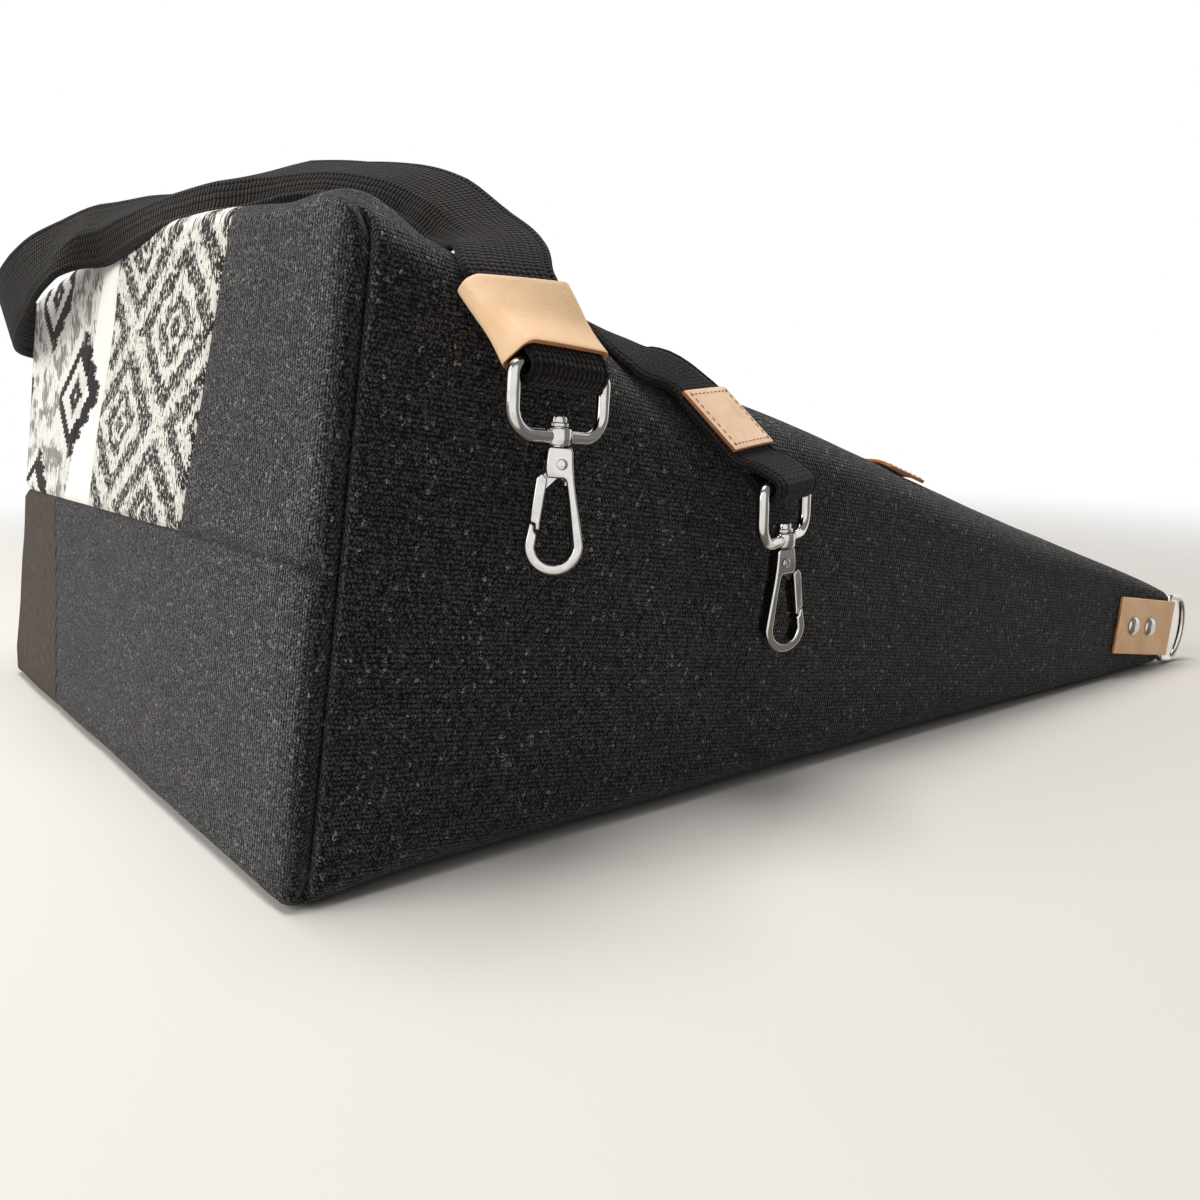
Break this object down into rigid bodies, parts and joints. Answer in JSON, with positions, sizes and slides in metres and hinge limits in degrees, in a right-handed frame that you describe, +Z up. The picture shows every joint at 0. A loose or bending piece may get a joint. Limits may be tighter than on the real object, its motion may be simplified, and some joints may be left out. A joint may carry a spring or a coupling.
{
  "type": "tote bag",
  "caption": "Boxed cloth tote bag lying on its back panel, with patterned strips, side rings on leather tabs and a webbing shoulder strap that ends in swivel clips.",
  "frame": {"origin": "on the surface the bag lies on, under the middle of its back panel", "axes": "+X from the base towards the mouth, +Y across the bag, away from the side that carries the clips, +Z up, square to the back panel"},
  "size_m": [0.4976, 0.5054, 0.2293],
  "materials": {
    "charcoal_cloth": "heathered wool-like weave, matt",
    "ikat_wide": "woven ikat of off-white and grey diamonds, matt",
    "ikat_bold": "woven ikat of off-white and black stepped diamonds, matt",
    "off_white_cotton": "plain off-white cotton, matt",
    "brown_corduroy": "dark brown fine-wale corduroy, matt",
    "navy_lining": "plain navy lining cloth, matt",
    "natural_leather": "pale vegetable-tanned leather with brown raw edges",
    "black_webbing": "ribbed dark webbing, matt",
    "polished_nickel": "polished nickel plate",
    "spring_steel": "plain spring wire"
  },
  "bodies": {
    "bag": {"charcoal_body": "charcoal_cloth", "ikat_strip_wide": "ikat_wide", "white_strip": "off_white_cotton", "ikat_strip_bold": "ikat_bold", "corduroy_strip": "brown_corduroy", "far_side_panel": "charcoal_cloth", "lining": "navy_lining", "shoulder_strap": "black_webbing", "strap_sleeve": "natural_leather", "strap_patch": "natural_leather", "leather_label": "natural_leather", "ring_tab_near": "natural_leather", "ring_tab_far": "natural_leather", "tab_rivet_near_1": "polished_nickel", "tab_rivet_near_2": "polished_nickel", "tab_rivet_far_1": "polished_nickel", "tab_rivet_far_2": "polished_nickel"},
    "near_ring": {"ring_near": "polished_nickel"},
    "far_ring": {"ring_far": "polished_nickel"},
    "base_clip_eye": {"base_clip_eye": "polished_nickel"},
    "base_clip_hook": {"base_clip_hook": "polished_nickel", "base_clip_pin": "polished_nickel", "base_clip_spring": "spring_steel"},
    "base_clip_gate": {"base_clip_gate": "polished_nickel"},
    "mouth_clip_eye": {"mouth_clip_eye": "polished_nickel"},
    "mouth_clip_hook": {"mouth_clip_hook": "polished_nickel", "mouth_clip_pin": "polished_nickel", "mouth_clip_spring": "spring_steel"},
    "mouth_clip_gate": {"mouth_clip_gate": "polished_nickel"}
  },
  "joints": [
    {"name": "near_ring_turn", "type": "hinge", "parent": "bag", "child": "near_ring", "pos_m": [0.24465, -0.2478, 0.02029], "axis": [0.1678, 0, 0.9858], "range_deg": [-80, 50]},
    {"name": "far_ring_turn", "type": "hinge", "parent": "bag", "child": "far_ring", "pos_m": [0.24465, 0.2478, 0.02029], "axis": [-0.1678, 0, -0.9858], "range_deg": [-80, 50]},
    {"name": "base_clip_swing", "type": "hinge", "parent": "bag", "child": "base_clip_eye", "pos_m": [-0.149, -0.1968, 0.1522], "axis": [-0.9941, -0.0643, 0.0872], "range_deg": [-6, 120]},
    {"name": "base_clip_swivel", "type": "hinge", "parent": "base_clip_eye", "child": "base_clip_hook", "pos_m": [-0.15065, -0.19691, 0.13327], "axis": [0.087, 0.0056, 0.9962], "continuous": true},
    {"name": "base_clip_gate_turn", "type": "hinge", "parent": "base_clip_hook", "child": "base_clip_gate", "pos_m": [-0.15044, -0.19739, 0.12543], "axis": [-0.4412, -0.8964, 0.0436], "range_deg": [0, 18], "stiffness_Nm_per_rad": 0.02, "springref_deg": -22.92},
    {"name": "mouth_clip_swing", "type": "hinge", "parent": "bag", "child": "mouth_clip_eye", "pos_m": [-0.0625, -0.213, 0.1153], "axis": [-0.9749, -0.2215, -0.0244], "range_deg": [-6, 120]},
    {"name": "mouth_clip_swivel", "type": "hinge", "parent": "mouth_clip_eye", "child": "mouth_clip_hook", "pos_m": [-0.06205, -0.2129, 0.09631], "axis": [-0.0238, -0.0054, 0.9997], "continuous": true},
    {"name": "mouth_clip_gate_turn", "type": "hinge", "parent": "mouth_clip_hook", "child": "mouth_clip_gate", "pos_m": [-0.06284, -0.21264, 0.08849], "axis": [0.2112, 0.9774, 0.0103], "range_deg": [0, 18], "stiffness_Nm_per_rad": 0.02, "springref_deg": -22.92}
  ]
}
